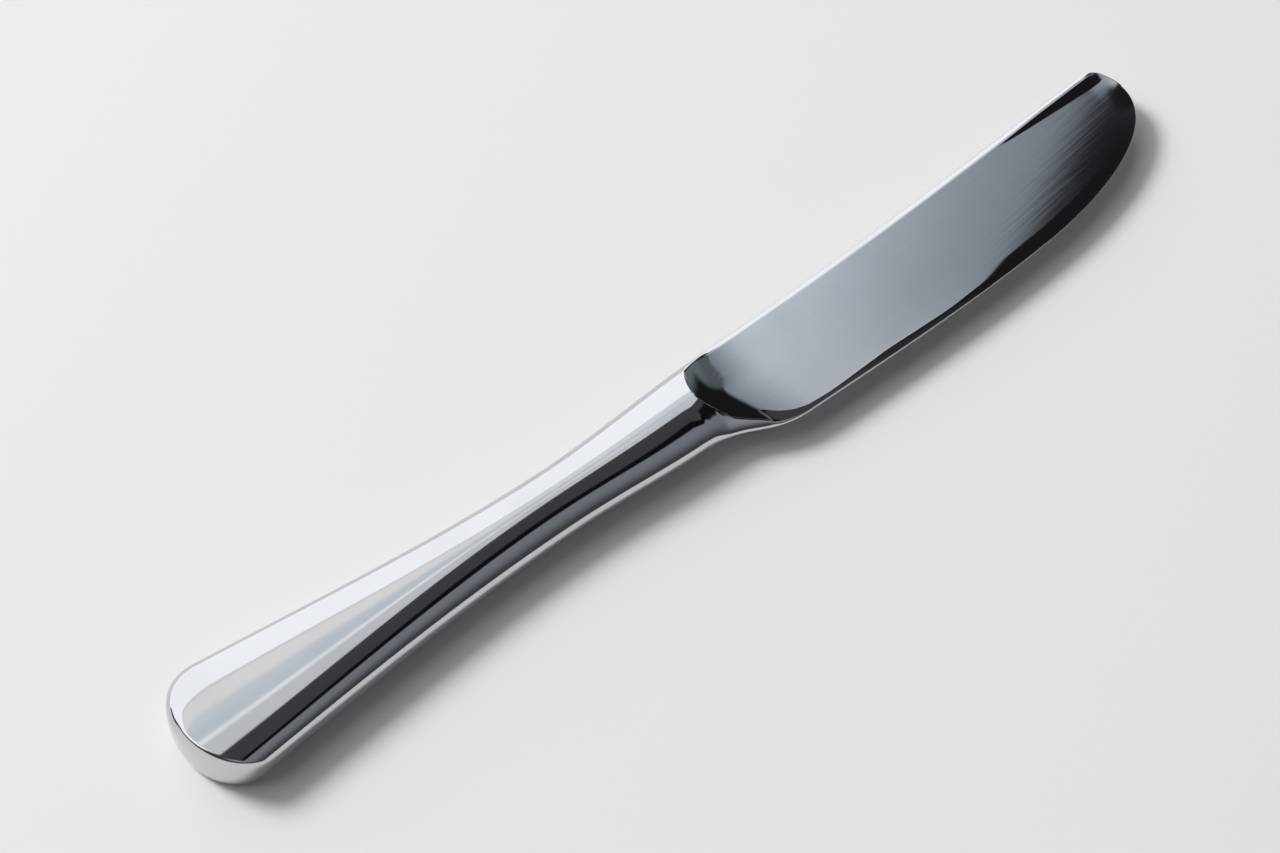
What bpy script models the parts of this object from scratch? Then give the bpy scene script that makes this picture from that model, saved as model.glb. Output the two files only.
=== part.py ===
"""Butter knife with a hollow handle, lying flat.

The blade, its bolster, spigot and tang are one forging. The handle is two drawn half shells that
meet on the knife's mid plane, brazed together from inside and brazed onto the spigot, with a core
of cement around the tang. The model is drawn from the pommel end along +X, with the spine towards
+Y and the mid plane at Z = 0. The empty that carries it puts the origin under its middle.
"""

import math

import bmesh
import bpy
import numpy as np
from mathutils import Vector
from mathutils.geometry import interpolate_bezier

# Fits
FIT = 0.0003                    # gap between pieces that seat on each other

# Handle, measured from the pommel end
HANDLE_LENGTH = 0.0840          # pommel end to the joint with the bolster
POMMEL_WIDTH = 0.0184
POMMEL_STATION = 0.0090         # where the pommel width is taken
POMMEL_ROUND = 0.0080           # length of the rounded end, seen from above
POMMEL_TAPER = 0.105            # half width lost per length behind the pommel
POMMEL_THICKNESS = 0.0074
POMMEL_EDGE = 0.0015            # length over which the end wall rolls onto the top
POMMEL_EDGE_POWER = 2.5         # of that roll, where 2 is an ellipse
POMMEL_SQUARENESS = 2.9         # of the section, where 2 is an ellipse
NECK_WIDTH = 0.01050
NECK_SETBACK = 0.0210           # neck to the joint
NECK_THICKNESS = 0.0068
NECK_SQUARENESS = 2.0           # kept from the neck to the bolster
SHELL_WALL = 0.0008

# Bolster, at the joint
COLLAR_SPINE_SIDE = 0.00655     # axis to the spine side
COLLAR_EDGE_SIDE = 0.00595      # axis to the edge side
COLLAR_SPINE_SLOPE = 0.073      # of the spine side where the handle runs into the bolster
COLLAR_EDGE_SLOPE = 0.0
COLLAR_THICKNESS = 0.0070

# Scoop from the shoulder down to the blade's face: a short wall, then a long run-out
SHOULDER_SETBACK = 0.0032       # joint to the top of the wall
SHOULDER_SPINE_BOW = 0.00257    # how far the wall has run towards the tip at the spine side
SHOULDER_EDGE_SLOPE = 0.47      # run of the wall towards the tip on the edge side
SHOULDER_EDGE_ROUND = 0.0012    # rounding of that run at the axis
WALL_LENGTH = 0.0019
WALL_SLOPE = 0.75
WALL_FOOT = 0.0008              # half the length of the curve at the wall's foot
RUNOUT_SETBACK = 0.0035         # joint to the start of the run-out
RUNOUT_SKEW = 0.14              # how much later it starts for each length towards the spine
RUNOUT_RISE = 0.00095
RUNOUT_LENGTH = 0.0160
RUNOUT_POWER = 3.2

# Flank of the heel, which is thinned below the shoulder, from the joint
FLANK_SQUARENESS = 1.6
FLANK_START = 0.0015
FLANK_FULL = 0.0045
FLANK_FADE = 0.0090

# Blade, measured from the joint along the axis and from the axis to each side
BLADE_LENGTH = 0.0910           # joint to the tip
HEEL_STATION = 0.0120           # where the heel's spine and thicknesses are taken
HEEL_END = 0.0160               # where the heel has run out into the edge
HEEL_SPINE_SIDE = 0.0071
HEEL_EDGE_SIDE = 0.01012
BELLY_SETBACK = 0.0300          # start of the belly's curve to the tip
BELLY_EDGE_SIDE = 0.0088
TIP_SETBACK = 0.0050            # start of the tip corner to the tip
TIP_SPINE_SIDE = 0.0116
TIP_REST = 0.0062               # where the slanted end meets the belly
TIP_ROUND = 0.0080              # length over which the blank thins to the tip
SPINE_THICKNESS_HEEL = 0.0024
SPINE_THICKNESS_TIP = 0.0015
EDGE_THICKNESS_HEEL = 0.0012
BLADE_SQUARENESS = 2.2          # rounding of the blank's sides
SPINE_ROUND_WIDTH = 0.0013      # rounding of the spine's corners, across the face
SPINE_ROUND_DROP = 0.0006       # and down from it

# Blade outline: slopes along the axis, and how far each curve holds its direction
SPINE_HEEL_SLOPE = 0.018
SPINE_TIP_SLOPE = 0.076
BELLY_SLOPE = 0.094
HEEL_REACH = 0.0075             # both ends of the heel's double curve
BELLY_REACH = 0.0195            # start of the belly's curve
END_REACH = 0.0070              # belly's curve, at the tip
CORNER_REACH = 0.0020           # spine, into the tip corner
SLANT_REACH = 0.0013            # slanted end, both ways from its middle and at the tip
SLANT_SETBACK = 0.0010          # middle of the slanted end to the tip
SLANT_DROP = 0.0015             # tip corner down to the middle of the slanted end
SLANT_ANGLE = math.radians(63)  # slanted end to the axis

# Joint inside the handle
SPIGOT_LENGTH = 0.0050
BRAZE_THICKNESS = 0.0004
BRAZE_LENGTH = 0.0040
BEAD_RADIUS = 0.0004
TANG_LENGTH = 0.0360            # beyond the spigot
TANG_THICKNESS = 0.0020
TANG_END_SHARE = 0.6
CEMENT_LENGTH = 0.0400
CEMENT_WALL = 0.0007            # cement left beside the tang at the neck

# Facets
ROUND_STEPS = 12
HANDLE_STEPS = 18
SECTION_STEPS = 18
HEEL_STEPS = 22
MIDDLE_STEPS = 11
BELLY_STEPS = 20
OUTLINE_STEPS = 60
BEAD_STEPS = 26
FACE_STEPS = 12
SPINE_ROUND_STEPS = 4

NECK_STATION = HANDLE_LENGTH - NECK_SETBACK
BOLSTER_START = HANDLE_LENGTH + FIT
TIP = HANDLE_LENGTH + BLADE_LENGTH
COLLAR_HALF = COLLAR_THICKNESS / 2
BRAZE_INSET = SHELL_WALL + FIT
SPIGOT_INSET = BRAZE_INSET + BRAZE_THICKNESS + FIT
BEAD_INSET = SHELL_WALL + FIT + BEAD_RADIUS
CORE_SIDE_INSET = SHELL_WALL + FIT + 2 * BEAD_RADIUS + FIT
TANG_HALF = NECK_WIDTH / 2 - CORE_SIDE_INSET - CEMENT_WALL - FIT


def clear_scene():
    for old in list(bpy.data.objects):
        bpy.data.objects.remove(old, do_unlink=True)


def make_collection(name):
    collection = bpy.data.collections.new(name)
    bpy.context.scene.collection.children.link(collection)
    return collection


def make_material(name, colour, metallic, roughness):
    material = bpy.data.materials.new(name)
    material.use_nodes = True
    shader = material.node_tree.nodes["Principled BSDF"]
    shader.inputs["Base Color"].default_value = (*colour, 1.0)
    shader.inputs["Metallic"].default_value = metallic
    shader.inputs["Roughness"].default_value = roughness
    material.diffuse_color = (*colour, 1.0)
    return material


def hermite(x, start, end):
    """Cubic from start to end, each given as (x, value, slope)."""
    x0, y0, m0 = start
    x1, y1, m1 = end
    span = x1 - x0
    t = min(max((x - x0) / span, 0.0), 1.0)
    blend = 3 * t * t - 2 * t ** 3
    return (y0 + (y1 - y0) * blend
            + span * m0 * (t - 2 * t * t + t ** 3)
            + span * m1 * (t ** 3 - t * t))


def bezier(*points):
    """Points along one cubic, from its end points and handles."""
    return [tuple(p) for p in interpolate_bezier(*[Vector(p) for p in points], OUTLINE_STEPS)]


def end_share(x, inset):
    """Share of the handle's width left by the rounding of its end."""
    back = max(POMMEL_ROUND - x, 0.0) / (POMMEL_ROUND - inset)
    return math.sqrt(max(1 - back * back, 0.0))


def end_depth(x, across, inset):
    """Distance in from the rounded end, at a share of the handle's width."""
    return x - POMMEL_ROUND + (POMMEL_ROUND - inset) * math.sqrt(max(1 - across * across, 0.0))


def end_roll(depth):
    """Share of the full height at a distance in from the end."""
    back = 1 - min(max(depth / POMMEL_EDGE, 0.0), 1.0)
    return (1 - back ** POMMEL_EDGE_POWER) ** (1 / POMMEL_EDGE_POWER)


def handle_side(x, collar, slope, inset):
    """Half width of one side of the handle, which meets the joint at that width and slope."""
    pommel = (POMMEL_STATION, POMMEL_WIDTH / 2, -POMMEL_TAPER)
    neck = (NECK_STATION, NECK_WIDTH / 2, 0.0)
    if x < POMMEL_STATION:
        width = pommel[1] + POMMEL_TAPER * (POMMEL_STATION - x)
    elif x < NECK_STATION:
        width = hermite(x, pommel, neck)
    else:
        width = hermite(x, neck, (HANDLE_LENGTH, collar, slope))
    return (width - inset) * end_share(x, inset)


def spine_side(x, inset):
    return handle_side(x, COLLAR_SPINE_SIDE, COLLAR_SPINE_SLOPE, inset)


def edge_side(x, inset):
    return handle_side(x, COLLAR_EDGE_SIDE, COLLAR_EDGE_SLOPE, inset)


def handle_half_thickness(x, inset):
    """Half the handle's thickness on its axis, before its end is rolled over."""
    neck = (NECK_STATION, NECK_THICKNESS / 2, 0.0)
    if x < NECK_STATION:
        middle = hermite(x, (POMMEL_STATION, POMMEL_THICKNESS / 2, 0.0), neck)
    else:
        middle = hermite(x, neck, (HANDLE_LENGTH, COLLAR_HALF, 0.0))
    return middle - inset


def round_height(share, squareness):
    """Height of a rounded section at a share of its half width, as a share of its middle's."""
    return (1 - abs(share) ** squareness) ** (1 / squareness) if abs(share) < 1 else 0.0


def ring(x, low, high, height):
    """Closed section across the knife at x, from y = low to y = high, under a height for each share."""
    middle = (low + high) / 2
    half = (high - low) / 2
    shares = [-math.cos(math.pi * step / SECTION_STEPS) for step in range(SECTION_STEPS + 1)]
    top = [(x, middle + half * share, height(share)) for share in shares]
    bottom = [(px, py, -pz) for px, py, pz in reversed(top[1:-1])]
    return top + bottom


def handle_ring(x, side_inset, top_inset):
    """Section of the handle. At the pommel its spine side falls away to the end like a dome, while
    its edge side keeps its height up to a crisp rim."""
    squareness = hermite(x, (POMMEL_STATION, POMMEL_SQUARENESS, 0.0), (NECK_STATION, NECK_SQUARENESS, 0.0))
    half_thickness = handle_half_thickness(x, top_inset)

    def height(share):
        if x < POMMEL_ROUND and share < 0:
            across = share * end_share(x, side_inset)
            rolled = end_roll(end_depth(x, across, side_inset))
            return half_thickness * round_height(across, squareness) * rolled
        return half_thickness * round_height(share, squareness) * end_roll(x - side_inset)

    return ring(x, -edge_side(x, side_inset), spine_side(x, side_inset), height)


def shifted(points, distance):
    """The same section, moved along the knife."""
    return [(px + distance, py, pz) for px, py, pz in points]


def handle_rings(stop, inset):
    """Sections of the handle, set in by a wall, from behind the pommel's end point to stop."""
    reach = POMMEL_ROUND - inset
    stations = [POMMEL_ROUND - reach * math.cos(math.radians(90 * step / ROUND_STEPS))
                for step in range(1, ROUND_STEPS + 1)]
    stations += list(np.linspace(POMMEL_ROUND, stop, HANDLE_STEPS + 1)[1:])
    return [handle_ring(x, inset, inset) for x in stations]


def spine_outline():
    heel = HANDLE_LENGTH + HEEL_STATION
    corner = TIP - TIP_SETBACK
    at_collar = (HANDLE_LENGTH, COLLAR_SPINE_SIDE, COLLAR_SPINE_SLOPE)
    at_heel = (heel, HEEL_SPINE_SIDE, SPINE_HEEL_SLOPE)
    at_corner = (corner, TIP_SPINE_SIDE, SPINE_TIP_SLOPE)
    points = []
    for x in np.linspace(BOLSTER_START, corner, OUTLINE_STEPS):
        side = hermite(x, at_collar, at_heel) if x < heel else hermite(x, at_heel, at_corner)
        points.append((x, side))
    slant = Vector((TIP - SLANT_SETBACK, TIP_SPINE_SIDE - SLANT_DROP))
    along = SLANT_REACH * Vector((math.cos(SLANT_ANGLE), -math.sin(SLANT_ANGLE)))
    points += bezier((corner, TIP_SPINE_SIDE),
                     (corner + CORNER_REACH, TIP_SPINE_SIDE + CORNER_REACH * SPINE_TIP_SLOPE),
                     slant - along, slant)[1:]
    points += bezier(slant, slant + along, (TIP, TIP_REST + SLANT_REACH), (TIP, TIP_REST))[1:]
    return points


def edge_outline():
    heel = HANDLE_LENGTH + HEEL_END
    belly = TIP - BELLY_SETBACK
    points = bezier((HANDLE_LENGTH, -COLLAR_EDGE_SIDE),
                    (HANDLE_LENGTH + HEEL_REACH, -COLLAR_EDGE_SIDE - HEEL_REACH * COLLAR_EDGE_SLOPE),
                    (heel - HEEL_REACH, -HEEL_EDGE_SIDE), (heel, -HEEL_EDGE_SIDE))
    points = [p for p in points if p[0] > BOLSTER_START]
    for x in np.linspace(heel, belly, OUTLINE_STEPS)[1:]:
        side = hermite(x, (heel, -HEEL_EDGE_SIDE, 0.0), (belly, -BELLY_EDGE_SIDE, BELLY_SLOPE))
        points.append((x, side))
    points += bezier((belly, -BELLY_EDGE_SIDE),
                     (belly + BELLY_REACH, -BELLY_EDGE_SIDE + BELLY_REACH * BELLY_SLOPE),
                     (TIP, TIP_REST - END_REACH), (TIP, TIP_REST))[1:]
    return points


def side_at(outline, x):
    xs = [p[0] for p in outline]
    ys = [p[1] for p in outline]
    return float(np.interp(x, xs, ys))


def blade_stations():
    """Close together across the heel and towards the tip."""
    heel = np.linspace(BOLSTER_START, HANDLE_LENGTH + HEEL_END, HEEL_STEPS)
    belly = TIP - BELLY_SETBACK
    middle = np.linspace(HANDLE_LENGTH + HEEL_END, belly, MIDDLE_STEPS)[1:]
    turn = np.linspace(0, math.pi / 2, BELLY_STEPS)[1:-1]
    return list(heel) + list(middle) + [belly + BELLY_SETBACK * math.sin(a) for a in turn]


def flank_share(x):
    """How far the heel's flank is thinned."""
    along = x - HANDLE_LENGTH
    thinned = hermite(along, (FLANK_START, 0.0, 0.0), (FLANK_FULL, 1.0, 0.0))
    return thinned - hermite(along, (FLANK_FADE, 0.0, 0.0), (HEEL_END, 1.0, 0.0))


def blank_rings():
    """Forging blank: the knife's outline at full collar thickness, before its faces are ground."""
    spine = spine_outline()
    edge = edge_outline()
    rings = []
    for x in blade_stations():
        run = min((x - BOLSTER_START) / HEEL_END, 1.0)
        squareness = NECK_SQUARENESS + (BLADE_SQUARENESS - NECK_SQUARENESS) * run
        flank = squareness + (FLANK_SQUARENESS - squareness) * flank_share(x)
        back = max(1 - (TIP - x) / TIP_ROUND, 0.0)
        half = COLLAR_HALF * round_height(back, BLADE_SQUARENESS)
        rings.append(ring(x, side_at(edge, x), side_at(spine, x),
                          lambda share: half * round_height(share, flank if share < 0 else squareness)))
    return rings


def face_plane(x, y):
    """Half thickness left by the flat ground face, a plane through three thicknesses."""
    heel = HANDLE_LENGTH + HEEL_STATION
    corner = TIP - TIP_SETBACK
    across = (SPINE_THICKNESS_HEEL - EDGE_THICKNESS_HEEL) / 2 / (HEEL_SPINE_SIDE + HEEL_EDGE_SIDE)
    lift = TIP_SPINE_SIDE - HEEL_SPINE_SIDE
    along = ((SPINE_THICKNESS_TIP - SPINE_THICKNESS_HEEL) / 2 - across * lift) / (corner - heel)
    return SPINE_THICKNESS_HEEL / 2 + along * (x - heel) + across * (y - HEEL_SPINE_SIDE)


def wall_height(x, y):
    """The scoop's wall, which bows towards the tip on both sides of the axis, with a curved foot."""
    if y > 0:
        bow = SHOULDER_SPINE_BOW * (y / COLLAR_SPINE_SIDE) ** 2
    else:
        bow = SHOULDER_EDGE_SLOPE * (math.hypot(y, SHOULDER_EDGE_ROUND) - SHOULDER_EDGE_ROUND)
    left = HANDLE_LENGTH + SHOULDER_SETBACK + bow + WALL_LENGTH - x
    if left > WALL_FOOT:
        return WALL_SLOPE * left
    return WALL_SLOPE * max(left + WALL_FOOT, 0.0) ** 2 / (4 * WALL_FOOT)


def face_height(x, y):
    """The ground face with the scoop up to the shoulder, which stops above the blank."""
    run = x - HANDLE_LENGTH - RUNOUT_SETBACK - RUNOUT_SKEW * y
    run_out = RUNOUT_RISE * max(1 - run / RUNOUT_LENGTH, 0.0) ** RUNOUT_POWER
    return face_plane(x, y) + min(wall_height(x, y) + run_out, COLLAR_THICKNESS)


def face_rings():
    """Space between the two ground faces, rounded off at the spine and a little wider than the blade."""
    spine = spine_outline()
    edge = edge_outline()
    rounded_end = (TIP - TIP_SETBACK, SPINE_ROUND_DROP, 0.0)
    square_end = (TIP - SLANT_SETBACK, 0.0, 0.0)
    rings = []
    for x in [BOLSTER_START - SHOULDER_SETBACK] + blade_stations() + [TIP + FIT]:
        low = side_at(edge, x) - FIT
        high = side_at(spine, x)
        inner = max(high - SPINE_ROUND_WIDTH, (low + high) / 2)
        top = [(x, y, face_height(x, y)) for y in np.linspace(low, inner, FACE_STEPS)]
        drop = hermite(x, rounded_end, square_end)
        for step in range(1, SPINE_ROUND_STEPS + 1):
            turn = math.pi / 2 * step / SPINE_ROUND_STEPS
            y = inner + (high - inner) * math.sin(turn)
            top.append((x, y, face_height(x, y) - drop * (1 - math.cos(turn))))
        top.append((x, high + FIT, top[-1][2]))
        rings.append(top + [(px, py, -pz) for px, py, pz in reversed(top)])
    return rings


def loft(name, rings, collection, start=None, end=None):
    """Skin matching sections, closed by a flat cap or by an end point."""
    form = bmesh.new()
    loops = [[form.verts.new(p) for p in points] for points in rings]
    count = len(loops[0])
    for first, second in zip(loops, loops[1:]):
        for i in range(count):
            j = (i + 1) % count
            form.faces.new((first[i], first[j], second[j], second[i]))
    for loop, point in ((loops[0], start), (loops[-1], end)):
        if point is None:
            form.faces.new(loop)
            continue
        peak = form.verts.new(point)
        for i in range(count):
            form.faces.new((loop[i], loop[(i + 1) % count], peak))
    bmesh.ops.recalc_face_normals(form, faces=form.faces)
    return finish(name, form, collection)


def finish(name, form, collection):
    mesh = bpy.data.meshes.new(name)
    form.to_mesh(mesh)
    form.free()
    return place(name, mesh, collection)


def place(name, mesh, collection):
    thing = bpy.data.objects.new(name, mesh)
    collection.objects.link(thing)
    return thing


def box(name, low, high, collection):
    form = bmesh.new()
    bmesh.ops.create_cube(form, size=1.0)
    size = Vector(high) - Vector(low)
    bmesh.ops.scale(form, vec=size, verts=form.verts)
    bmesh.ops.translate(form, vec=(Vector(high) + Vector(low)) / 2, verts=form.verts)
    return finish(name, form, collection)


def tang(name, collection, clearance):
    """Bar that tapers towards its free end, with a clearance all round."""
    root = HANDLE_LENGTH - SPIGOT_LENGTH
    side = TANG_HALF + clearance
    top = TANG_THICKNESS / 2 + clearance
    thing = box(name, (root - TANG_LENGTH - clearance, -side, -top), (root + FIT, side, top), collection)
    for vertex in thing.data.vertices:
        if vertex.co.x < root:
            vertex.co.y = math.copysign(TANG_HALF * TANG_END_SHARE + clearance, vertex.co.y)
    return thing


def boolean(thing, operation, tool):
    modifier = thing.modifiers.new(tool.name, "BOOLEAN")
    modifier.operation = operation
    modifier.solver = "EXACT"
    modifier.object = tool
    tool.hide_render = True
    tool.display_type = "WIRE"


def bead(name, collection):
    """Round bead along the inside of the shells' joint, down one side and back up the other."""
    stop = HANDLE_LENGTH - SPIGOT_LENGTH - FIT
    reach = POMMEL_ROUND - BEAD_INSET
    turns = [POMMEL_ROUND - reach * math.cos(math.radians(90 * step / ROUND_STEPS))
             for step in range(ROUND_STEPS + 1)]
    stations = turns + list(np.linspace(POMMEL_ROUND, stop, BEAD_STEPS)[1:])
    spine = [(x, spine_side(x, BEAD_INSET)) for x in stations]
    edge = [(x, -edge_side(x, BEAD_INSET)) for x in stations]
    path = spine[::-1] + edge[1:]
    curve = bpy.data.curves.new(name, "CURVE")
    curve.dimensions = "3D"
    curve.bevel_depth = BEAD_RADIUS
    curve.bevel_resolution = 1
    curve.use_fill_caps = True
    spline = curve.splines.new("POLY")
    spline.points.add(len(path) - 1)
    for point, (x, y) in zip(spline.points, path):
        point.co = (x, y, 0.0, 1.0)
    return place(name, curve, collection)


def build():
    clear_scene()
    parts = make_collection("butter_knife")
    cutters = make_collection("cutters")
    steel = (0.62, 0.63, 0.65)

    blade = loft("blade", blank_rings(), parts, end=(TIP, TIP_REST, 0.0))
    faces = loft("ground_faces", face_rings(), cutters)
    boolean(blade, "INTERSECT", faces)
    spigot_back = handle_ring(HANDLE_LENGTH - SPIGOT_LENGTH, SPIGOT_INSET, SPIGOT_INSET)
    spigot_front = handle_ring(HANDLE_LENGTH, SPIGOT_INSET, SPIGOT_INSET)
    spigot_root = shifted(spigot_front, FIT + SHOULDER_SETBACK / 2)
    spigot = loft("spigot_form", [spigot_back, spigot_front, spigot_root], cutters)
    boolean(blade, "UNION", spigot)
    boolean(blade, "UNION", tang("tang_form", cutters, 0.0))

    mouth = shifted(handle_ring(HANDLE_LENGTH, SHELL_WALL, SHELL_WALL), SHELL_WALL)
    cavity = loft("cavity", handle_rings(HANDLE_LENGTH, SHELL_WALL) + [mouth], cutters,
                  start=(SHELL_WALL, 0.0, 0.0))
    shells = []
    for name, side in (("handle_shell_upper", 1), ("handle_shell_lower", -1)):
        shell = loft(name, handle_rings(HANDLE_LENGTH, 0.0), parts, start=(0.0, 0.0, 0.0))
        boolean(shell, "DIFFERENCE", cavity)
        near = side * FIT / 2
        far = side * POMMEL_THICKNESS
        half = box("half_" + name, (-FIT, -POMMEL_WIDTH, min(near, far)),
                   (HANDLE_LENGTH + FIT, POMMEL_WIDTH, max(near, far)), cutters)
        boolean(shell, "INTERSECT", half)
        shells.append(shell)

    seam = bead("seam_braze", parts)

    start = HANDLE_LENGTH - BRAZE_LENGTH
    inner = BRAZE_INSET + BRAZE_THICKNESS
    sleeve_rings = [handle_ring(x, BRAZE_INSET, BRAZE_INSET) for x in (start, HANDLE_LENGTH)]
    sleeve = loft("bolster_braze", sleeve_rings, parts)
    hole_rings = [shifted(handle_ring(start, inner, inner), -FIT),
                  shifted(handle_ring(HANDLE_LENGTH, inner, inner), FIT)]
    boolean(sleeve, "DIFFERENCE", loft("sleeve_hole", hole_rings, cutters))

    stop = HANDLE_LENGTH - SPIGOT_LENGTH - FIT
    core_rings = [handle_ring(x, CORE_SIDE_INSET, SHELL_WALL + FIT)
                  for x in np.linspace(stop - CEMENT_LENGTH, stop, HANDLE_STEPS // 2)]
    core = loft("cement_core", core_rings, parts)
    boolean(core, "DIFFERENCE", tang("tang_room", cutters, FIT))

    finishes = (
        (blade, "blade_steel", steel, 1.0, 0.14),
        (shells[0], "upper_shell_steel", steel, 1.0, 0.10),
        (shells[1], "lower_shell_steel", steel, 1.0, 0.10),
        (seam, "seam_braze_alloy", (0.72, 0.64, 0.45), 1.0, 0.35),
        (sleeve, "bolster_braze_alloy", (0.72, 0.64, 0.45), 1.0, 0.35),
        (core, "cement", (0.55, 0.53, 0.49), 0.0, 0.9),
    )
    for thing, name, colour, metallic, roughness in finishes:
        thing.data.materials.append(make_material(name, colour, metallic, roughness))
        if thing.type == "MESH":
            thing.data.shade_smooth()
            thing.data.set_sharp_from_angle(angle=math.radians(25))

    sides = [y for x, y in spine_outline() + edge_outline()] + [POMMEL_WIDTH / 2, -POMMEL_WIDTH / 2]
    carrier = bpy.data.objects.new("butter_knife_frame", None)
    parts.objects.link(carrier)
    carrier.location = (-TIP / 2, -(max(sides) + min(sides)) / 2, POMMEL_THICKNESS / 2)
    for thing in list(parts.objects) + list(cutters.objects):
        if thing is not carrier:
            thing.parent = carrier


build()
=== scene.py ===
import math

import bmesh
import bpy
import numpy as np
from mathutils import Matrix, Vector


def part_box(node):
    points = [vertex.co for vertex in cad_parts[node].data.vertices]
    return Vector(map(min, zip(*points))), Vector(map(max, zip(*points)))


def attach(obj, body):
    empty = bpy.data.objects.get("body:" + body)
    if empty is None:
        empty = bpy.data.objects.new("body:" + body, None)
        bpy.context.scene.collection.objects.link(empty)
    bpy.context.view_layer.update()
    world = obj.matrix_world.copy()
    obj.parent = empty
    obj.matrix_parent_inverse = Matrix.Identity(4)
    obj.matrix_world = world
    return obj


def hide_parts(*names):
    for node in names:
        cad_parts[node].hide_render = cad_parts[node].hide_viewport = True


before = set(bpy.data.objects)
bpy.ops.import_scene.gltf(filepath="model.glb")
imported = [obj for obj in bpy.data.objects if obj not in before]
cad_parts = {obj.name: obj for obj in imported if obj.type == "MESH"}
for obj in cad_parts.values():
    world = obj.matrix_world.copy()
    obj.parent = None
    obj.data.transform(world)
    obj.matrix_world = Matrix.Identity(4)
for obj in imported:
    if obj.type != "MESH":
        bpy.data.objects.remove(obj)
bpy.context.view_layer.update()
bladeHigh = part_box("blade")[1]
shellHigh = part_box("handle_shell_upper")[1]
print("frame loaded:", sorted(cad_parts))

# The knife is drawn from the pommel end along +X, spine towards +Y, mid plane at Z = 0.
# Lengths are in metres. The collar is where the handle meets the bolster.
collar = {
    "spineSide": 0.00655,
    "edgeSide": 0.00595,
    "spineSlope": 0.073,
    "edgeSlope": 0.0,
    "half": 0.0035,        # half thickness
    "square": 2.0,         # squareness of the section, 2 is an ellipse
}

meshing = {
    "weld": 1e-7,          # points nearer than this become one
    "sliver": 1e-8,        # edges shorter than this are dissolved
    "sharpAngle": 40,      # degrees
    "curveSteps": 600,
}


def mix(first, second, share):
    return first + (second - first) * share


def smooth(low, high, value):  # 0 before low, 1 after high
    t = np.clip((value - low) / (high - low), 0.0, 1.0)
    return t * t * (3 - 2 * t)


def betweenSides(low, high, share):  # share runs from -1 to 1
    return (low + high) / 2 + (high - low) / 2 * share


def roundSection(share, squareness):  # height of a rounded section, share runs from -1 to 1
    return np.maximum(1 - np.abs(share) ** squareness, 0.0) ** (1 / squareness)


def softMin(a, b, radius):  # the lower of two heights with a rounded change-over
    near = np.maximum(radius - np.abs(a - b), 0.0) / radius
    return np.minimum(a, b) - near * near * radius / 4


def hermite(x, start, end):  # cubic between two (x, value, slope)
    span = end[0] - start[0]
    t = np.clip((x - start[0]) / span, 0.0, 1.0)
    rise = (3 - 2 * t) * t * t
    return (start[1] + (end[1] - start[1]) * rise
            + span * start[2] * t * (1 - t) ** 2 - span * end[2] * t * t * (1 - t))


def hermiteThrough(x, start, middle, end):
    return np.where(x < middle[0], hermite(x, start, middle), hermite(x, middle, end))


def curvePoints(*handles):  # one cubic Bezier
    a, b, c, d = [np.array(p) for p in handles]
    t = np.linspace(0, 1, meshing["curveSteps"])[:, None]
    return a * (1 - t) ** 3 + 3 * b * t * (1 - t) ** 2 + 3 * c * t * t * (1 - t) + d * t ** 3


def gridOf(bm, columns, rows, place):  # a grid whose points are moved onto a surface
    made = bmesh.ops.create_grid(bm, x_segments=columns, y_segments=rows, size=0.5)["verts"]
    across = np.array([v.co.x for v in made]) + 0.5
    along = np.array([v.co.y for v in made]) + 0.5
    for v, point in zip(made, np.stack(place(along, across), axis=1)):
        v.co = point


def boxAt(bm, size, centre):
    made = bmesh.ops.create_cube(bm, size=1.0)["verts"]
    bmesh.ops.scale(bm, vec=size, verts=made)
    bmesh.ops.translate(bm, vec=centre, verts=made)


def openEdges(bm):
    return [e for e in bm.edges if e.is_boundary]


def addObject(name, data):
    made = bpy.data.objects.new(name, data)
    bpy.context.scene.collection.objects.link(made)
    return made


def finishPiece(bm, name, move):
    bmesh.ops.remove_doubles(bm, verts=bm.verts, dist=meshing["weld"])
    bmesh.ops.dissolve_degenerate(bm, edges=bm.edges, dist=meshing["sliver"])
    bmesh.ops.recalc_face_normals(bm, faces=bm.faces)
    bmesh.ops.translate(bm, vec=move, verts=bm.verts)
    mesh = bpy.data.meshes.new(name)
    bm.to_mesh(mesh)
    bm.free()
    mesh.shade_smooth()
    mesh.set_sharp_from_angle(angle=math.radians(meshing["sharpAngle"]))
    print(name, "triangles", sum(len(p.vertices) - 2 for p in mesh.polygons))
    return addObject(name, mesh)


# Handle

handle = {
    "length": 0.0840,
    "pommelSide": 0.0092,      # half width
    "pommelAt": 0.0090,
    "pommelRound": 0.0080,     # plan rounding of the end
    "pommelTaper": 0.105,
    "pommelHalf": 0.0037,      # half thickness
    "pommelSquare": 2.9,
    "pommelRim": (0.0010, 2.5),    # length and power of the roll over the end, on the edge side
    "pommelDome": (0.0038, 4.0),   # and on the spine side
    "rollBlend": (-0.1, 0.7),      # shares of the width where one roll turns into the other
    "domeBlend": (0.0, 0.8),       # and where the straight top turns into the dome
    "neckSide": 0.00525,
    "neckAt": 0.0630,
    "neckHalf": 0.0034,
    "wall": 0.0008,
    "columns": 150,
    "rows": 300,
    "endRows": 0.36,           # share of the rows on the rounded end
}


def endShare(x, inset):  # share of the width left by the rounding of the end
    back = np.clip((handle["pommelRound"] - x) / (handle["pommelRound"] - inset), 0.0, 1.0)
    return np.sqrt(1 - back * back)


def endRoll(depth, blend):  # share of the full height at a distance in from the end
    rimLength, rimPower = handle["pommelRim"]
    domeLength, domePower = handle["pommelDome"]
    power = mix(rimPower, domePower, blend)
    back = 1 - np.clip(depth / mix(rimLength, domeLength, blend), 0.0, 1.0)
    return (1 - back ** power) ** (1 / power)


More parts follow.
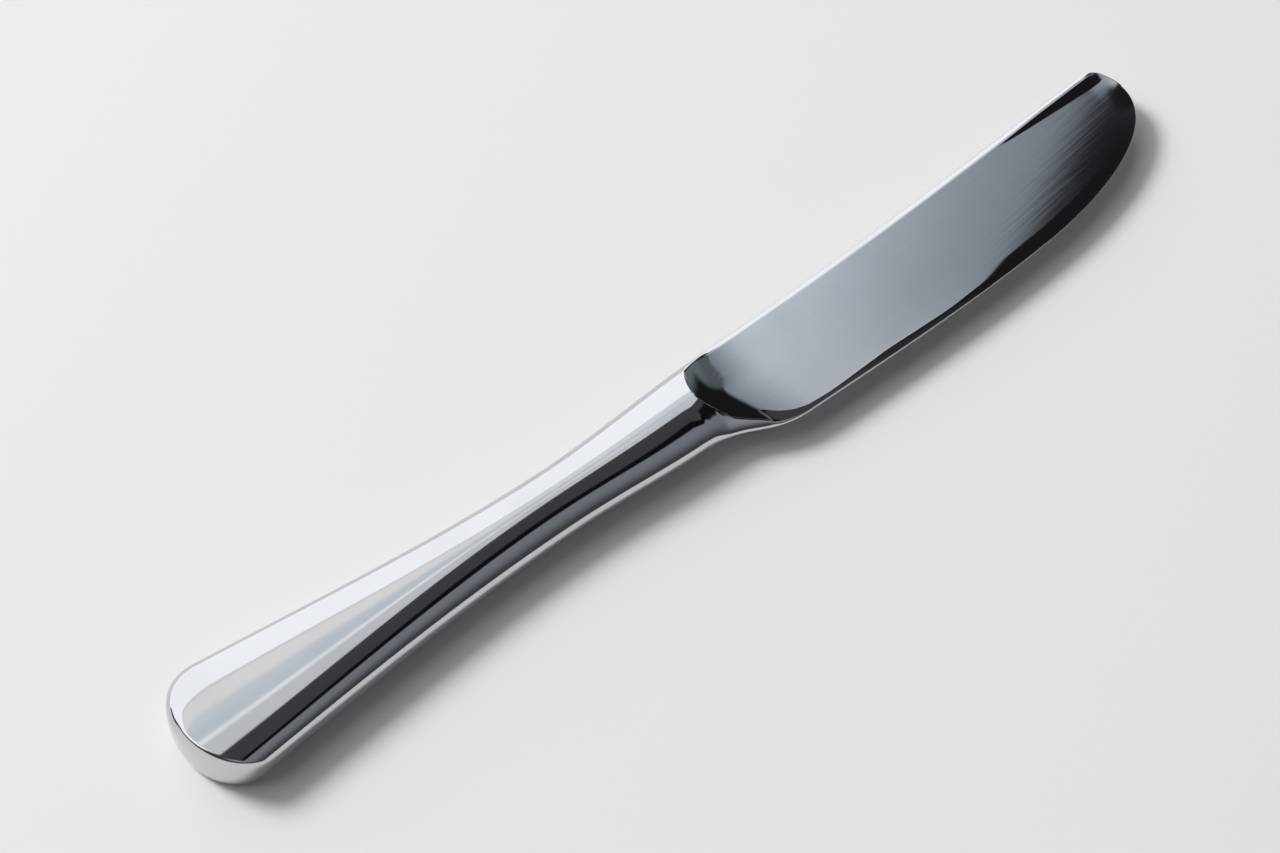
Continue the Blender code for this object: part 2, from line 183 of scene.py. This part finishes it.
def handleSide(x, side, slope, inset):  # half width on one side
    h = handle
    pommel = (h["pommelAt"], h["pommelSide"], -h["pommelTaper"])
    neck = (h["neckAt"], h["neckSide"], 0.0)
    width = hermiteThrough(x, pommel, neck, (h["length"], side, slope))
    width = width + h["pommelTaper"] * np.maximum(h["pommelAt"] - x, 0.0) - inset
    return width * endShare(x, inset)


def handleHalf(x, inset):  # half thickness
    h = handle
    pommel = (h["pommelAt"], h["pommelHalf"], 0.0)
    neck = (h["neckAt"], h["neckHalf"], 0.0)
    return hermiteThrough(x, pommel, neck, (h["length"], collar["half"], 0.0)) - inset


def handleSurface(inset, side):
    h = handle

    def place(along, across):
        turn = np.minimum(along / h["endRows"], 1.0) * math.pi / 2
        rest = np.maximum(along - h["endRows"], 0.0) / (1 - h["endRows"])
        x = h["pommelRound"] - (h["pommelRound"] - inset) * np.cos(turn)
        x = x + (h["length"] - h["pommelRound"]) * rest
        low = -handleSide(x, collar["edgeSide"], collar["edgeSlope"], inset)
        high = handleSide(x, collar["spineSide"], collar["spineSlope"], inset)
        share = -np.cos(math.pi * across)
        square = hermite(x, (h["pommelAt"], h["pommelSquare"], 0.0),
                         (h["neckAt"], collar["square"], 0.0))
        # The spine side falls away to the end like a dome.
        # The edge side runs straight and keeps its height up to a crisp rim.
        dome = roundSection(share, square) * endRoll(x - inset, 1.0)
        wide = share * endShare(x, inset)
        depth = x - h["pommelRound"] + (h["pommelRound"] - inset) * np.sqrt(1 - wide * wide)
        rim = roundSection(wide, square) * endRoll(depth, smooth(*h["rollBlend"], wide))
        domed = np.where(x < h["pommelRound"], smooth(*h["domeBlend"], share), 1.0)
        z = handleHalf(x, inset) * mix(rim, dome, domed)
        return x, betweenSides(low, high, share), side * z * (along > 0)
    return place


def makeShell(name, node, side, move):
    bm = bmesh.new()
    for inset in (0.0, handle["wall"]):
        gridOf(bm, handle["columns"], handle["rows"], handleSurface(inset, side))
    bmesh.ops.remove_doubles(bm, verts=bm.verts, dist=meshing["weld"])
    bmesh.ops.bridge_loops(bm, edges=openEdges(bm))   # the joint face between the shells, and the mouth
    piece = finishPiece(bm, name, move)
    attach(piece, "root")
    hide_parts(node)
    return piece


# Blade with its bolster

blade = {                      # places are from the collar, those with Back from the tip
    "length": 0.0910,
    "heelAt": 0.0120,
    "heelEnd": 0.0160,
    "heelSpine": 0.0071,
    "heelEdge": 0.01012,
    "heelSpineSlope": 0.018,
    "heelReach": 0.0075,
    "bellyBack": 0.0300,
    "bellyEdge": 0.0088,
    "bellySlope": 0.094,
    "bellyReach": 0.0195,
    "endReach": 0.0070,
    "tipBack": 0.0050,
    "tipSpine": 0.0116,
    "tipSpineSlope": 0.076,
    "tipRest": 0.0062,
    "tipRound": 0.0080,
    "cornerReach": 0.0020,
    "slantReach": 0.0013,      # the slant joins the spine's corner to the round tip
    "slantBack": 0.0010,
    "slantDrop": 0.0015,
    "slantAngle": math.radians(63),
    "square": 2.2,             # rounding of spine and edge
    "spineHalfHeel": 0.0012,   # half thicknesses
    "spineHalfTip": 0.00075,
    "edgeHalfHeel": 0.0006,
    "shoulderAt": 0.0032,
    "shoulderBow": 60.0,       # how the scoop's wall bows to the tip on the spine side
    "shoulderSlope": 0.47,     # and on the edge side
    "shoulderRound": 0.0012,
    "wall": (0.00042, 2.4, 0.0001),    # length, slope and half the length of its curved foot
    "scoop": (0.0005, 0.0050, 2.0),    # rise, length and power of the hollow below the wall
    "runout": (0.00095, 0.0160, 3.2),  # the same of the run-out from there to the face
    "runoutAt": 0.0035,
    "runoutSkew": 0.01,        # it reaches a little further on the spine side
    "runoutBow": (0.15, 0.001),        # and along both sides: slope and rounding in the middle
    "crease": 0.0002,          # rounding of the shoulder
    "creaseLeast": 0.00001,
    "edgeRound": 0.0007,       # rounding of the edge, from the heel on
    "edgeRoundPlaces": (0.0090, 0.0125),
    "flankSquare": 1.6,        # the heel's flank is thinned below the shoulder
    "flankPlaces": (0.0015, 0.0045, 0.0090),
    "spineRound": (0.0013, 0.0006),    # across the face and down from it
    "lipAt": 0.0086,           # low ridge by the spine near the tip
    "lipPlaces": (0.066, 0.077, 0.0874, 0.0901),
    "lipSlope": 0.05,
    "lipRound": 0.0005,
    "tipLift": 5.8,            # the face turns up a little at the tip's corner
    "tipLiftFrom": 0.0861,
    "tipLiftSides": (0.0020, 0.0090),
    # The face falls off to the edge, most at the heel's corner: (place, width) and (place, depth)
    "rollWidths": ((0.0095, 0.0030), (0.0102, 0.0028), (0.0110, 0.0024), (0.0120, 0.0019),
                   (0.0130, 0.0015), (0.0140, 0.0012), (0.0150, 0.0010), (0.0160, 0.0008),
                   (0.0190, 0.0006), (0.031, 0.0013), (0.043, 0.0009), (0.051, 0.0012), (0.056, 0.0022)),
    "rollDepths": ((0.0088, 0.0), (0.0095, 0.00014), (0.0102, 0.00032), (0.0110, 0.00034),
                   (0.0120, 0.00031), (0.0130, 0.00027), (0.0140, 0.00024), (0.0150, 0.00020),
                   (0.0160, 0.00015), (0.0190, 0.00006), (0.072, 0.00006), (0.084, 0.0)),
    "rollPower": 1.25,
    "tang": (0.0360, 0.0046, 0.0020),  # length, width and thickness
    "spigot": (0.0050, 0.0085, 0.0034),
    "columns": 170,
    "rows": (190, 26, 64),     # over the heel, the middle and the tip
    "spineSteps": 400,
    "edgeSteps": 200,
}


def spineLine():
    b, start = blade, handle["length"]
    tip = start + b["length"]
    corner = tip - b["tipBack"]
    atCollar = (start, collar["spineSide"], collar["spineSlope"])
    atHeel = (start + b["heelAt"], b["heelSpine"], b["heelSpineSlope"])
    atCorner = (corner, b["tipSpine"], b["tipSpineSlope"])
    x = np.linspace(start, corner, b["spineSteps"])
    y = hermiteThrough(x, atCollar, atHeel, atCorner)
    slant = np.array((tip - b["slantBack"], b["tipSpine"] - b["slantDrop"]))
    along = b["slantReach"] * np.array((math.cos(b["slantAngle"]), -math.sin(b["slantAngle"])))
    top = (corner + b["cornerReach"], b["tipSpine"] + b["cornerReach"] * b["tipSpineSlope"])
    toSlant = curvePoints((corner, b["tipSpine"]), top, slant - along, slant)
    toTip = curvePoints(slant, slant + along, (tip, b["tipRest"] + b["slantReach"]), (tip, b["tipRest"]))
    return np.concatenate([np.stack([x, y], axis=1), toSlant[1:], toTip[1:]])


def edgeLine():
    b, start = blade, handle["length"]
    tip = start + b["length"]
    heel = start + b["heelEnd"]
    belly = tip - b["bellyBack"]
    x = np.linspace(heel, belly, b["edgeSteps"])
    y = hermite(x, (heel, -b["heelEdge"], 0.0), (belly, -b["bellyEdge"], b["bellySlope"]))
    leave = (start + b["heelReach"], -collar["edgeSide"] - b["heelReach"] * collar["edgeSlope"])
    flare = curvePoints((start, -collar["edgeSide"]), leave,
                        (heel - b["heelReach"], -b["heelEdge"]), (heel, -b["heelEdge"]))
    leave = (belly + b["bellyReach"], -b["bellyEdge"] + b["bellyReach"] * b["bellySlope"])
    rise = curvePoints((belly, -b["bellyEdge"]), leave,
                       (tip, b["tipRest"] - b["endReach"]), (tip, b["tipRest"]))
    return np.concatenate([flare[:-1], np.stack([x, y], axis=1), rise[1:]])


spine = spineLine()
edge = edgeLine()


def facePlane(x, y):
    b, start = blade, handle["length"]
    run = b["length"] - b["tipBack"] - b["heelAt"]
    slopeAcross = (b["spineHalfHeel"] - b["edgeHalfHeel"]) / (b["heelSpine"] + b["heelEdge"])
    fall = b["spineHalfTip"] - b["spineHalfHeel"] - slopeAcross * (b["tipSpine"] - b["heelSpine"])
    return (b["spineHalfHeel"] + fall / run * (x - start - b["heelAt"])
            + slopeAcross * (y - b["heelSpine"]))


def scoopHeight(x, y):  # a short wall bowed to the tip, then a long run-out to the face
    b, start = blade, handle["length"]
    edgeBow = b["shoulderSlope"] * (np.hypot(y, b["shoulderRound"]) - b["shoulderRound"])
    bow = np.where(y > 0, b["shoulderBow"] * y * y, edgeBow)
    length, slope, foot = b["wall"]
    left = start + b["shoulderAt"] + bow + length - x
    wall = slope * np.where(left > foot, left, np.maximum(left + foot, 0.0) ** 2 / (4 * foot))
    rise, length, power = b["scoop"]
    hollow = rise * np.maximum(1 - (x - start - b["shoulderAt"] - bow) / length, 0.0) ** power
    rise, length, power = b["runout"]
    slope, roundOff = b["runoutBow"]
    run = x - start - b["runoutAt"] - b["runoutSkew"] * y - slope * (np.hypot(y, roundOff) - roundOff)
    runout = rise * np.maximum(1 - run / length, 0.0) ** power
    return np.minimum(wall + hollow + runout, 2 * collar["half"])


def faceHeight(x, y, low, high):  # the ground face with its scoop, rounded spine, lip and edge
    b = blade
    at = x - handle["length"]
    width, drop = b["spineRound"]
    past = at - b["length"] + b["tipBack"]
    line = np.where(past > 0, b["tipSpine"] + b["tipSpineSlope"] * past, high)
    near = np.clip(1 - (line - y) / width, 0.0, 1.0)
    z = facePlane(x, y) + scoopHeight(x, y) - drop * (1 - np.sqrt(1 - near * near))
    begin, full, fade, end = b["lipPlaces"]
    lip = smooth(begin, full, at) * (1 - smooth(fade, end, at))
    over = np.maximum(y - b["lipAt"], 0.0)
    z = z + b["lipSlope"] * lip * over * smooth(0, b["lipRound"], over)
    lift = b["tipLift"] * np.maximum(at - b["tipLiftFrom"], 0.0) ** 2
    z = z + lift * smooth(*b["tipLiftSides"], y)
    away = np.clip(1 - (y - low) / np.interp(at, *zip(*b["rollWidths"])), 0.0, 1.0)
    return z - np.interp(at, *zip(*b["rollDepths"])) * away ** b["rollPower"]


def bladeSurface(along, across):
    b, start = blade, handle["length"]
    tip = start + b["length"]
    marks = np.cumsum((0,) + b["rows"]) / sum(b["rows"])
    places = [start, start + b["heelEnd"], tip - b["bellyBack"], tip]
    x = np.interp(along, marks, places)
    turn = np.clip((along - marks[2]) / (marks[3] - marks[2]), 0.0, 1.0) * math.pi / 2
    x = np.where(along > marks[2], places[2] + b["bellyBack"] * np.sin(turn), x)
    low = np.interp(x, edge[:, 0], edge[:, 1])
    high = np.interp(x, spine[:, 0], spine[:, 1])
    share = -np.cos(math.pi * across)
    y = betweenSides(low, high, share)
    # The forging's rounded blank, thinned on the heel's flank and rounded off at the tip
    square = mix(collar["square"], b["square"], np.clip((x - start) / b["heelEnd"], 0.0, 1.0))
    begin, full, fade = b["flankPlaces"]
    thin = smooth(begin, full, x - start) - smooth(fade, b["heelEnd"], x - start)
    square = np.where(share < 0, mix(square, b["flankSquare"], thin), square)
    back = np.maximum(1 - (tip - x) / b["tipRound"], 0.0)
    blank = collar["half"] * roundSection(back, b["square"]) * roundSection(share, square)
    # The ground face cuts it
    face = faceHeight(x, y, low, high)
    edgeRound = mix(b["crease"], b["edgeRound"], smooth(*b["edgeRoundPlaces"], x - start))
    crease = np.where(share < 0, edgeRound, b["crease"])
    crease = np.minimum(crease, np.maximum(face, b["creaseLeast"]))
    return x, y, np.maximum(softMin(blank, face, crease), 0.0) * (np.abs(share) < 1)


def makeBlade(move):
    bm = bmesh.new()
    gridOf(bm, blade["columns"], sum(blade["rows"]), bladeSurface)
    upperHalf = bm.verts[:] + bm.edges[:] + bm.faces[:]
    bmesh.ops.mirror(bm, geom=upperHalf, axis="Z", merge_dist=meshing["weld"])
    bmesh.ops.remove_doubles(bm, verts=bm.verts, dist=meshing["weld"])
    bmesh.ops.holes_fill(bm, edges=openEdges(bm))
    root = handle["length"]
    for size in (blade["spigot"], blade["tang"]):
        boxAt(bm, size, (root - size[0] / 2, 0.0, 0.0))
        root -= size[0]
    piece = finishPiece(bm, "knifeBlade", move)
    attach(piece, "root")
    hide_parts("blade")
    return piece


move = Vector((bladeHigh.x - handle["length"] - blade["length"],
               bladeHigh.y - spine[:, 1].max(),
               shellHigh.z - handle["pommelHalf"]))
upper = makeShell("handleShellUpper", "handle_shell_upper", 1, move)
lower = makeShell("handleShellLower", "handle_shell_lower", -1, move)
knife = makeBlade(move)


# Materials

class Wire:  # a socket that takes part in arithmetic
    def __init__(self, paint, socket):
        self.paint = paint
        self.socket = socket

    def maths(self, operation, first, second):
        return self.paint.node("ShaderNodeMath", {"operation": operation}, [first, second])

    def __add__(self, other):
        return self.maths("ADD", self, other)

    def __radd__(self, other):
        return self.maths("ADD", other, self)

    def __sub__(self, other):
        return self.maths("SUBTRACT", self, other)

    def __rsub__(self, other):
        return self.maths("SUBTRACT", other, self)

    def __mul__(self, other):
        return self.maths("MULTIPLY", self, other)

    def __rmul__(self, other):
        return self.maths("MULTIPLY", other, self)

    def held(self, low, high):
        return self.maths("MINIMUM", self.maths("MAXIMUM", self, low), high)


class Paint:  # a node tree that is filled node by node
    def __init__(self, owner):
        owner.use_nodes = True
        self.tree = owner.node_tree

    def put(self, socket, value):
        if isinstance(value, Wire):
            self.tree.links.new(value.socket, socket)
        else:
            socket.default_value = value

    def node(self, kind, settings, inputs, output=0):
        made = self.tree.nodes.new(kind)
        for key, value in settings.items():
            setattr(made, key, value)
        named = inputs.items() if isinstance(inputs, dict) else enumerate(inputs)
        for key, value in named:
            self.put(made.inputs[key], value)
        return Wire(self, made.outputs[output])


def mixColour(paint, share, first, second):  # by number, because the node's sockets share their names
    return paint.node("ShaderNodeMix", {"data_type": "RGBA"}, {0: share, 6: first, 7: second}, 2)


def noise(paint, place, scale, detail):
    return paint.node("ShaderNodeTexNoise", {}, {"Vector": place, "Scale": scale, "Detail": detail}, "Fac")


steel = {
    "colour": (0.64, 0.65, 0.67, 1),
    "dullColour": (0.58, 0.59, 0.61, 1),
    # Marks that run along the knife: how many to a metre along and across, and their detail
    "fineLines": ((14, 2600, 2600), 3.0),
    "wideLines": ((9, 520, 520), 2.0),
    "streaks": ((80, 1700, 1700), 1.0),    # short marks of wiping, a little aslant
    "streakTurn": math.radians(8),
    "smears": (90, 4.0),       # cloudy patches, the same both ways
    "smearRange": (0.45, 0.75),
    "dullShare": 0.6,
    "fineShare": 0.35,         # depth of the fine lines next to the wide ones
    "fineRoughness": 0.3,
}


def polishedSteel(name, roughness, lineDepth, streakDepth, smearRoughness):
    material = bpy.data.materials.new(name)
    paint = Paint(material)
    shader = paint.tree.nodes["Principled BSDF"]
    place = paint.node("ShaderNodeTexCoord", {}, {}, "Object")

    def marks(kind, turn=0.0):
        perMetre, detail = steel[kind]
        turned = paint.node("ShaderNodeMapping", {}, {"Vector": place, "Rotation": (0, 0, -turn)})
        stretched = paint.node("ShaderNodeMapping", {}, {"Vector": turned, "Scale": perMetre})
        return noise(paint, stretched, 1.0, detail)

    fine = marks("fineLines")
    wide = marks("wideLines")
    streaks = marks("streaks", steel["streakTurn"])
    low, high = steel["smearRange"]
    dull = paint.node("ShaderNodeMapRange", {}, {"Value": noise(paint, place, *steel["smears"]),
                                                 "From Min": low, "From Max": high}, "Result")
    colour = mixColour(paint, dull * steel["dullShare"], steel["colour"], steel["dullColour"])
    uneven = roughness + dull * smearRoughness + fine * (steel["fineRoughness"] * roughness)
    height = (fine * steel["fineShare"] + wide) * lineDepth + streaks * streakDepth
    bump = paint.node("ShaderNodeBump", {}, {"Strength": 1.0, "Distance": 1.0, "Height": height}, "Normal")
    paint.put(shader.inputs["Base Color"], colour)
    paint.put(shader.inputs["Roughness"], uneven)
    paint.put(shader.inputs["Normal"], bump)
    shader.inputs["Metallic"].default_value = 1.0
    return material


grain = {                      # of the brazing alloy and the cement
    "detail": 5.0,
    "darkShare": 0.7,
    "roughness": 0.1,
}


def grainyFill(name, colour, perMetre, metallic, roughness):
    material = bpy.data.materials.new(name)
    paint = Paint(material)
    shader = paint.tree.nodes["Principled BSDF"]
    place = paint.node("ShaderNodeTexCoord", {}, {}, "Object")
    speckle = noise(paint, place, perMetre, grain["detail"])
    dark = tuple(grain["darkShare"] * c for c in colour)
    paint.put(shader.inputs["Base Color"], mixColour(paint, speckle, colour + (1,), dark + (1,)))
    paint.put(shader.inputs["Roughness"], roughness + speckle * grain["roughness"])
    shader.inputs["Metallic"].default_value = metallic
    return material


bladeSteel = polishedSteel("bladeSteel", roughness=0.035, lineDepth=2.0e-7, streakDepth=0.7e-6,
                           smearRoughness=0.02)
shellSteel = polishedSteel("shellSteel", roughness=0.045, lineDepth=0.6e-7, streakDepth=0.0,
                           smearRoughness=0.02)
brazeAlloy = grainyFill("brazeAlloy", (0.72, 0.64, 0.45), perMetre=900, metallic=1.0, roughness=0.35)
cement = grainyFill("cement", (0.55, 0.53, 0.49), perMetre=1500, metallic=0.0, roughness=0.85)
knife.data.materials.append(bladeSteel)
for shell in (upper, lower):
    shell.data.materials.append(shellSteel)
for node, material in (("seam_braze", brazeAlloy), ("bolster_braze", brazeAlloy), ("cement_core", cement)):
    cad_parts[node].data.materials.clear()
    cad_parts[node].data.materials.append(material)
print("materials made")


# Studio

studio = {
    "floorSize": 6.0,
    "floorColour": (0.74, 0.74, 0.73, 1),
    "floorRoughness": 0.9,
    "ceiling": (0.062, 0.063, 0.067, 1),
    "lamp": {"place": (-0.62, 1.30, 1.25), "size": 0.7, "power": 33.0},
    # Soft panels around the table, in degrees. Each gives where it begins, is full, is full and ends,
    # round the table from +X towards +Y and up from the floor. Tilt slopes its upper and lower sides.
    # Lean moves its ends with the height, between two heights.
    "tiltMiddle": 55,
    "panels": [
        {"name": "side", "round": (-60, -10, 60, 80), "up": (-20, -10, 56, 61),
         "colour": (0.012, 0.012, 0.014, 1)},
        {"name": "sideGlow", "round": (-40, 0, 6, 24), "up": (-20, -10, 14, 32),
         "colour": (0.09, 0.093, 0.10, 1)},
        {"name": "sideFade", "round": (-60, -40, 21, 25.5), "up": (36, 40, 49, 50.2),
         "lean": (1.0, 35, 50), "colour": (0.115, 0.130, 0.138, 1)},
        {"name": "sideSoft", "round": (-60, -40, 19, 24), "up": (10, 22, 40, 44),
         "lean": (1.0, 35, 50), "colour": (0.160, 0.185, 0.197, 1)},
        {"name": "window", "round": (35.35, 36.55, 160, 185), "up": (42, 48, 60, 66),
         "lean": (0.30, 50, 53), "colour": (0.270, 0.302, 0.333, 1)},
        {"name": "windowMain", "round": (35.8, 45.2, 160, 185), "up": (42, 48, 74, 80),
         "colour": (0.79, 0.845, 0.915, 1)},
        {"name": "windowHigh", "round": (35.8, 36.5, 160, 185), "up": (58, 61, 74, 80),
         "tilt": 0.3, "colour": (0.74, 0.755, 0.775, 1)},
        {"name": "windowLow", "round": (46, 51, 112, 116), "up": (-6, -2, 46, 48),
         "colour": (1.30, 1.32, 1.34, 1)},
        {"name": "windowBlue", "round": (40, 46, 70, 120), "up": (53.5, 56.0, 58.4, 59.6),
         "tilt": 0.3, "colour": (0.72, 0.775, 0.82, 1)},
        {"name": "windowWarm", "round": (50, 60, 160, 185), "up": (40, 44, 54.0, 55.6),
         "tilt": 0.3, "colour": (1.00, 0.985, 0.97, 1)},
        {"name": "windowWhite", "round": (46, 54, 160, 185), "up": (-10, -4, 45.0, 47.0),
         "tilt": 0.3, "colour": (1.30, 1.32, 1.34, 1)},
        {"name": "windowBar", "round": (50, 60, 160, 185), "up": (45.0, 46.2, 46.8, 48.0),
         "tilt": 0.3, "colour": (0.86, 0.84, 0.83, 1)},
        {"name": "windowLine", "round": (44, 52, 90, 120), "up": (58.6, 59.6, 60.6, 62.2),
         "tilt": 0.3, "colour": (1.08, 1.08, 1.08, 1)},
        {"name": "front", "round": (-150, -110, -29, -18), "up": (10, 54, 59.5, 62.0),
         "colour": (0.222, 0.240, 0.264, 1)},
        {"name": "frontHeel", "round": (-150, -110, -95, -66), "up": (16, 56, 64, 70),
         "colour": (0.36, 0.37, 0.385, 1)},
        {"name": "corner", "round": (-34, -24, 8, 16), "up": (48, 52, 64.5, 67),
         "colour": (0.008, 0.008, 0.010, 1)},
        {"name": "gap", "round": (-60, -50, -16, -4), "up": (59.5, 62.0, 66.6, 67.8),
         "colour": (0.006, 0.006, 0.008, 1)},
    ],
}


def makeFloor():
    bm = bmesh.new()
    bmesh.ops.create_grid(bm, x_segments=1, y_segments=1, size=studio["floorSize"] / 2)
    mesh = bpy.data.meshes.new("floor")
    bm.to_mesh(mesh)
    bm.free()
    material = bpy.data.materials.new("paleFloor")
    shader = Paint(material).tree.nodes["Principled BSDF"]
    shader.inputs["Base Color"].default_value = studio["floorColour"]
    shader.inputs["Roughness"].default_value = studio["floorRoughness"]
    mesh.materials.append(material)
    addObject("floor", mesh)


def makeWorld():
    world = bpy.data.worlds.new("studio")
    bpy.context.scene.world = world
    paint = Paint(world)
    way = paint.node("ShaderNodeTexCoord", {}, {}, "Generated")
    x, y, z = [paint.node("ShaderNodeSeparateXYZ", {}, [way], axis) for axis in "XYZ"]
    turn = paint.node("ShaderNodeMath", {"operation": "ARCTAN2"}, [y, x]) * math.degrees(1)
    rise = paint.node("ShaderNodeMath", {"operation": "ARCSINE"}, [z]) * math.degrees(1)

    def ramp(value, start, end):
        return paint.node("ShaderNodeMapRange", {"interpolation_type": "SMOOTHSTEP"},
                          {"Value": value, "From Min": start, "From Max": end}, "Result")

    def within(value, marks):
        return ramp(value, marks[0], marks[1]) * (1 - ramp(value, marks[2], marks[3]))

    colour = studio["ceiling"]
    for panel in studio["panels"]:   # later panels hang in front of earlier ones
        around = turn
        up = rise
        if "tilt" in panel:
            up = rise - (turn - studio["tiltMiddle"]) * panel["tilt"]
        if "lean" in panel:
            slope, low, high = panel["lean"]
            around = turn - slope * (rise - low).held(0.0, high - low)
        share = within(around, panel["round"]) * within(up, panel["up"])
        colour = mixColour(paint, share, colour, panel["colour"])
    paint.put(paint.tree.nodes["Background"].inputs["Color"], colour)


def makeLamp():  # lights the table from above, while the steel mirrors only the panels
    lamp = studio["lamp"]
    data = bpy.data.lights.new("tableLamp", "AREA")
    data.shape = "DISK"
    data.size = lamp["size"]
    data.energy = lamp["power"]
    made = addObject("tableLamp", data)
    made.location = lamp["place"]
    made.rotation_euler = (-Vector(lamp["place"])).to_track_quat("-Z", "Y").to_euler()
    made.visible_glossy = False


makeFloor()
makeWorld()
makeLamp()
print("studio made")


# Camera

view = {
    "place": (-0.19148, -0.22453, 0.40497),
    "target": (-0.00808, 0.002096, 0.0037),
    "lens": 100.0,             # millimetres, as is the sensor
    "sensor": 36.0,
    "clip": (0.01, 20.0),
}


def makeCamera():
    data = bpy.data.cameras.new("camera")
    data.lens = view["lens"]
    data.sensor_width = view["sensor"]
    data.sensor_fit = "HORIZONTAL"
    data.clip_start, data.clip_end = view["clip"]
    camera = addObject("camera", data)
    camera.location = view["place"]
    away = Vector(view["target"]) - Vector(view["place"])
    camera.rotation_euler = away.to_track_quat("-Z", "Y").to_euler()
    bpy.context.scene.camera = camera


makeCamera()
bpy.context.scene.view_settings.view_transform = "Standard"
print("scene ready")
